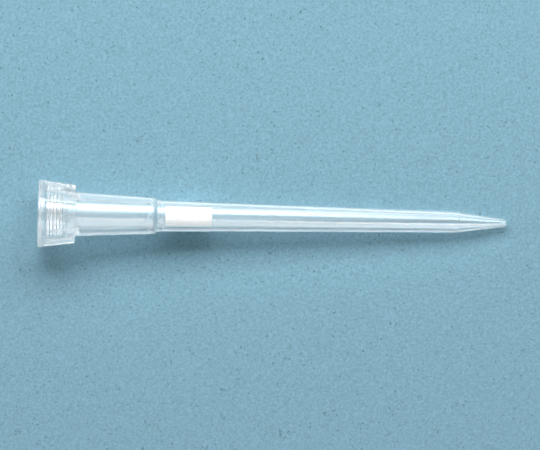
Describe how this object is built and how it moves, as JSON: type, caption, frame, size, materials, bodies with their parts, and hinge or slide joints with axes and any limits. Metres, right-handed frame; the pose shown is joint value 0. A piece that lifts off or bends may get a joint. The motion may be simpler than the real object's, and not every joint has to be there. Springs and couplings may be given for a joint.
{
  "type": "filtered pipette tip",
  "caption": "Slim clear plastic pipette tip with a ribbed collar, a grooved sealing socket, a shoulder, a white porous filter plug and a fine nozzle.",
  "frame": {"origin": "centre of the mouth, on the plane that the rim stands on", "axes": "+Z along the tip's axis, from the mouth to the nozzle; +X and +Y across it, each through a rib of the collar"},
  "size_m": [0.0072, 0.0072, 0.05],
  "materials": {
    "clear_polypropylene": "clear moulded polypropylene, slightly milky, smooth",
    "porous_filter": "white sintered polyethylene, matte and finely grained"
  },
  "bodies": {
    "root": {"tip_body": "clear_polypropylene", "filter_plug": "porous_filter"}
  },
  "joints": []
}
